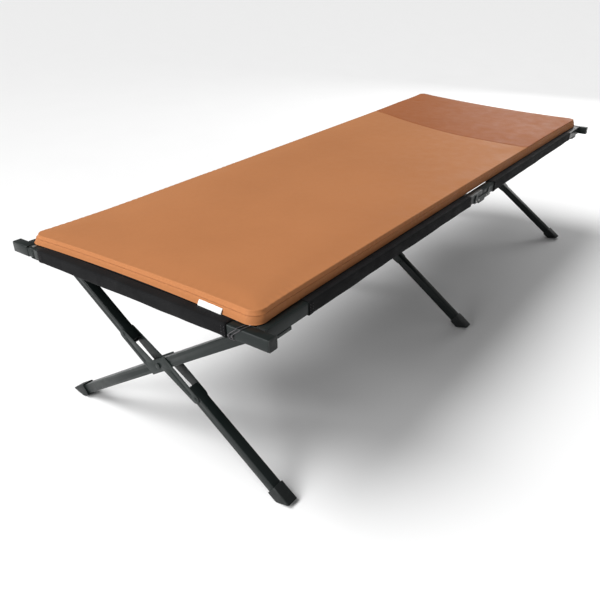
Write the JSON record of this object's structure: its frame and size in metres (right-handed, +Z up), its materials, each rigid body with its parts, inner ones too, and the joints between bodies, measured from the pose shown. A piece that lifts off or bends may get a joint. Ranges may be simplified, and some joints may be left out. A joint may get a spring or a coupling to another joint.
{
  "type": "folding cot",
  "caption": "Folding camp cot: steel rails on crossed leg pairs, a stretched fabric deck between removable end bars, and a padded mattress.",
  "frame": {"origin": "on the floor, under the middle of the cot", "axes": "+X from the foot end to the head end, +Y to the left rail, +Z up"},
  "size_m": [2.1643, 0.84, 0.543],
  "materials": {
    "frame_paint": "satin dark green-grey powder coat",
    "bracket_paint": "satin powder coat on pressed steel",
    "zinc_hardware": "zinc-plated bolts, pins and nuts",
    "foot_plastic": "matt moulded plastic",
    "deck_fabric": "heavy woven polyester, matt",
    "pad_fabric": "brushed copper-brown polyester, soft sheen",
    "pad_pillow": "darker brown panel of the same cloth",
    "elastic": "thin elastic cord",
    "care_label": "blank white woven label"
  },
  "bodies": {
    "right_frame": {"deck_panel": "deck_fabric", "foot_straight_leg": "frame_paint", "foot_straight_leg_bracket": "bracket_paint", "foot_straight_leg_foot": "foot_plastic", "head_straight_leg": "frame_paint", "head_straight_leg_bracket": "bracket_paint", "head_straight_leg_foot": "foot_plastic", "middle_straight_leg": "frame_paint", "middle_straight_leg_bracket": "bracket_paint", "middle_straight_leg_foot": "foot_plastic", "pad": "pad_fabric", "right_rail_foot_half": "frame_paint", "right_rail_foot_plug": "foot_plastic", "right_rail_foot_sleeve": "deck_fabric", "right_rail_head_half": "frame_paint", "right_rail_head_plug": "foot_plastic", "right_rail_head_sleeve": "deck_fabric", "right_rail_hinge": "bracket_paint"},
    "left_frame": {"foot_crossing_plate_backing": "bracket_paint", "foot_crossing_plate_riveted": "bracket_paint", "foot_offset_leg_bracket": "bracket_paint", "foot_offset_leg_foot": "foot_plastic", "foot_offset_leg_lower": "frame_paint", "foot_offset_leg_upper": "frame_paint", "foot_pivot_bolt": "zinc_hardware", "head_crossing_plate_backing": "bracket_paint", "head_crossing_plate_riveted": "bracket_paint", "head_offset_leg_bracket": "bracket_paint", "head_offset_leg_foot": "foot_plastic", "head_offset_leg_lower": "frame_paint", "head_offset_leg_upper": "frame_paint", "head_pivot_bolt": "zinc_hardware", "left_rail_foot_half": "frame_paint", "left_rail_foot_plug": "foot_plastic", "left_rail_foot_sleeve": "deck_fabric", "left_rail_head_half": "frame_paint", "left_rail_head_plug": "foot_plastic", "left_rail_head_sleeve": "deck_fabric", "left_rail_hinge": "bracket_paint", "middle_crossing_plate_backing": "bracket_paint", "middle_crossing_plate_riveted": "bracket_paint", "middle_offset_leg_bracket": "bracket_paint", "middle_offset_leg_foot": "foot_plastic", "middle_offset_leg_lower": "frame_paint", "middle_offset_leg_upper": "frame_paint", "middle_pivot_bolt": "zinc_hardware"},
    "foot_end_bar": {"foot_arm_pin": "zinc_hardware", "foot_end_bar": "frame_paint", "foot_end_bar_cap": "foot_plastic", "foot_end_bar_sleeve": "deck_fabric", "pad_tie_loop": "elastic"},
    "head_end_bar": {"head_arm_pin": "zinc_hardware", "head_end_bar": "frame_paint", "head_end_bar_cap": "foot_plastic", "head_end_bar_sleeve": "deck_fabric"},
    "foot_pivot_arm": {"foot_pivot_arm": "frame_paint"},
    "head_pivot_arm": {"head_pivot_arm": "frame_paint"}
  },
  "joints": [
    {"name": "scissor_fold", "type": "hinge", "parent": "right_frame", "child": "left_frame", "pos_m": [0, 0, 0.24131], "axis": [1, 0, 0], "range_deg": [0, 108], "deforming": ["pad", "deck_panel"]},
    {"name": "foot_bar_pull", "type": "slide", "parent": "right_frame", "child": "foot_end_bar", "axis": [-1, 0, 0], "range_m": [0, 0.04]},
    {"name": "head_bar_pull", "type": "slide", "parent": "right_frame", "child": "head_end_bar", "axis": [1, 0, 0], "range_m": [0, 0.04]},
    {"name": "foot_arm_swing", "type": "hinge", "parent": "foot_end_bar", "child": "foot_pivot_arm", "pos_m": [-1.0675, 0.344, 0.481], "axis": [0, 0, 1], "range_deg": [0, 90]},
    {"name": "head_arm_swing", "type": "hinge", "parent": "head_end_bar", "child": "head_pivot_arm", "pos_m": [1.0675, -0.344, 0.481], "axis": [0, 0, 1], "range_deg": [0, 90]}
  ]
}
